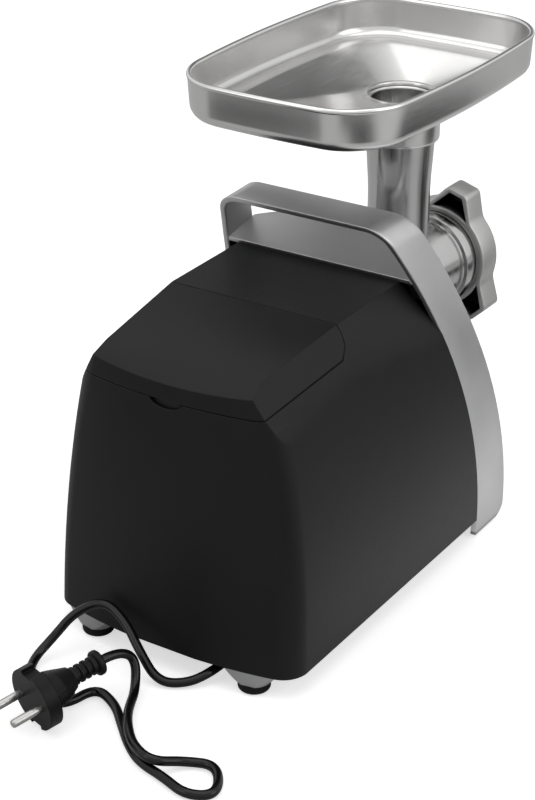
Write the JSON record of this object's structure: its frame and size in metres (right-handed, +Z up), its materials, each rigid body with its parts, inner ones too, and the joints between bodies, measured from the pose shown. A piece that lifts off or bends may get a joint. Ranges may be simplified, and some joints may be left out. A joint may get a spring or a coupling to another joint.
{
  "type": "electric meat grinder",
  "caption": "Table-top electric meat grinder: black motor housing under a silver hoop handle, cast feed head with steel hopper tray, ring nut, geared drive, storage bin and mains cord.",
  "frame": {"origin": "on the table, under the middle of the length from the ring nut's face to the foot of the housing's rear wall, in the plane of symmetry of the housing", "axes": "+Z up, -Y the way the ground meat comes out, +X the left side seen from behind"},
  "size_m": [0.1809, 0.4358, 0.3106],
  "materials": {
    "black_plastic": "fine matte texture",
    "silver_paint": "satin silver paint",
    "tray_steel": "satin pressed stainless sheet with a bright rim",
    "cast_aluminium": "polished casting",
    "nut_aluminium": "matte casting",
    "steel": "ground steel",
    "foot_plastic": "moulded grey",
    "foot_rubber": "matte black",
    "cord_rubber": "smooth black sheath",
    "plug_plastic": "moulded black",
    "nickel": "plated",
    "gear_plastic": "natural nylon",
    "bin_plastic": "moulded black",
    "button_plastic": "smooth dark grey",
    "laminated_iron": "laminated sheet",
    "copper": "enamelled wire",
    "bronze": "sintered bush",
    "carbon": "pressed carbon",
    "seal_rubber": "moulded seal"
  },
  "bodies": {
    "base": {"rear_housing": "black_plastic", "base_plate": "black_plastic", "silver_frame": "silver_paint", "front_panel": "silver_paint", "storage_bin": "bin_plastic", "rear_foot_legs": "foot_plastic", "rear_foot_pads": "foot_rubber", "front_feet": "foot_rubber", "base_screws": "steel", "button_switches": "bin_plastic", "gearbox_plate": "gear_plastic", "gearbox_cover": "bin_plastic", "case_screws": "steel", "first_axle": "steel", "second_axle": "steel", "output_bush": "bronze", "shaft_seal": "seal_rubber", "motor_stator": "laminated_iron", "field_coils": "copper", "motor_bearings": "nickel", "carbon_brushes": "carbon", "brush_holders": "bin_plastic", "motor_bracket": "bin_plastic", "motor_tie_rods": "steel", "head_socket": "silver_paint", "cord_gland": "cord_rubber", "power_cord": "cord_rubber", "plug_body": "plug_plastic", "plug_pins": "nickel"},
    "lid": {"storage_lid": "black_plastic", "lid_hinge_pins": "steel"},
    "rotor": {"motor_shaft": "steel", "armature_core": "laminated_iron", "armature_windings": "copper", "commutator": "copper", "cooling_fan": "bin_plastic", "motor_pinion": "steel"},
    "first_reduction": {"first_reduction_gear": "gear_plastic"},
    "second_reduction": {"second_reduction_gear": "gear_plastic"},
    "output": {"output_gear": "steel", "drive_shaft": "steel"},
    "head": {"grinder_head": "cast_aluminium", "auger_bush": "bronze", "cutting_plate": "steel"},
    "feed_screw": {"auger": "cast_aluminium", "cross_knife": "steel"},
    "nut": {"ring_nut": "nut_aluminium"},
    "tray": {"hopper_tray": "tray_steel"},
    "power_key": {"power_button": "button_plastic"},
    "reverse_key": {"reverse_button": "button_plastic"},
    "release_key": {"release_button": "button_plastic"}
  },
  "joints": [
    {"name": "lid_hinge", "type": "hinge", "parent": "base", "child": "lid", "pos_m": [0, 0.07791, 0.18879], "axis": [1, 0, 0], "range_deg": [0, 70]},
    {"name": "rotor_spin", "type": "hinge", "parent": "base", "child": "rotor", "pos_m": [0, -0.00325, 0.066], "axis": [0, -1, 0], "continuous": true},
    {"name": "first_reduction_spin", "type": "hinge", "parent": "base", "child": "first_reduction", "pos_m": [0.0176, -0.00325, 0.09176], "axis": [0, -1, 0], "continuous": true},
    {"name": "second_reduction_spin", "type": "hinge", "parent": "base", "child": "second_reduction", "pos_m": [-0.01411, -0.00325, 0.10984], "axis": [0, -1, 0], "continuous": true},
    {"name": "output_spin", "type": "hinge", "parent": "base", "child": "output", "pos_m": [0, -0.00325, 0.1486], "axis": [0, -1, 0], "continuous": true},
    {"name": "head_release", "type": "slide", "parent": "base", "child": "head", "axis": [0, -1, 0], "range_m": [0, 0.06]},
    {"name": "feed_screw_spin", "type": "hinge", "parent": "head", "child": "feed_screw", "pos_m": [0, -0.00325, 0.1486], "axis": [0, -1, 0], "continuous": true},
    {"name": "nut_unscrew", "type": "hinge", "parent": "head", "child": "nut", "pos_m": [0, -0.15325, 0.1486], "axis": [0, -1, 0], "range_deg": [0, 1260]},
    {"name": "tray_lift", "type": "slide", "parent": "head", "child": "tray", "axis": [0, 0, 1], "range_m": [0, 0.05]},
    {"name": "power_press", "type": "slide", "parent": "base", "child": "power_key", "axis": [0, 0.9265, -0.3764], "range_m": [0, 0.0025], "stiffness_N_per_m": 1500},
    {"name": "reverse_press", "type": "slide", "parent": "base", "child": "reverse_key", "axis": [0, 0.9265, -0.3764], "range_m": [0, 0.0025], "stiffness_N_per_m": 1500},
    {"name": "release_press", "type": "slide", "parent": "base", "child": "release_key", "axis": [0, 0.9035, -0.4286], "range_m": [0, 0.0025], "stiffness_N_per_m": 1500}
  ],
  "couplings": [
    {"joint": "first_reduction_spin", "follows": "rotor_spin", "ratio": -0.18182},
    {"joint": "second_reduction_spin", "follows": "rotor_spin", "ratio": 0.039394},
    {"joint": "output_spin", "follows": "rotor_spin", "ratio": -0.0087542},
    {"joint": "feed_screw_spin", "follows": "rotor_spin", "ratio": -0.0087542}
  ]
}
